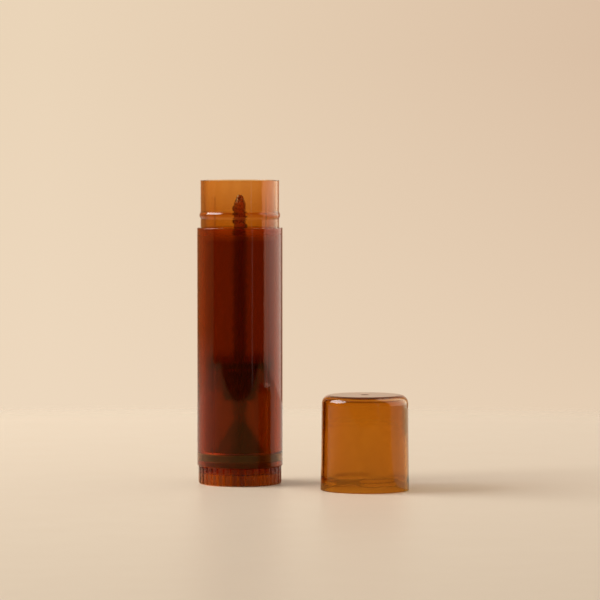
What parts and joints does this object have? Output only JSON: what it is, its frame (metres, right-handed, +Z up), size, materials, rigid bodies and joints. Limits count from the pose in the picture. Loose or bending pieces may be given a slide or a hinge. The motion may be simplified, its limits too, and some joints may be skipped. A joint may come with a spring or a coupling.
{
  "type": "twist-up tube",
  "caption": "Slim twist-up tube for a solid lotion bar: barrel with a snap neck, ribbed turning dial, screw-driven elevator, and a round-shouldered cap standing beside it.",
  "frame": {"origin": "centre of the tube's base, on the surface that it stands on", "axes": "+Z up the tube's axis; the picture looks along +Y, and the cap stands towards +X and -Y"},
  "size_m": [0.0393, 0.0286, 0.0567],
  "materials": {
    "amber_barrel": "translucent amber moulded plastic, polished outside",
    "amber_base": "translucent amber moulded plastic, satin",
    "amber_elevator": "translucent amber moulded plastic, satin",
    "amber_cap": "translucent amber moulded plastic, polished"
  },
  "bodies": {
    "tube": {"barrel": "amber_barrel"},
    "screw": {"screw_base": "amber_base"},
    "lift": {"elevator": "amber_elevator"},
    "lid": {"cap": "amber_cap"}
  },
  "joints": [
    {"name": "wheel_turn", "type": "hinge", "parent": "tube", "child": "screw", "pos_m": [0, 0, 0], "axis": [0, 0, 1], "range_deg": [-612.1, 5040.1]},
    {"name": "elevator_slide", "type": "slide", "parent": "tube", "child": "lift", "axis": [0, 0, 1], "range_m": [-0.00382, 0.0315]},
    {"name": "cap_lift", "type": "slide", "parent": "tube", "child": "lid", "axis": [0, 0, 1], "range_m": [0, 0.02]}
  ],
  "couplings": [
    {"joint": "wheel_turn", "follows": "elevator_slide", "rad_per_m": 2792.5}
  ]
}
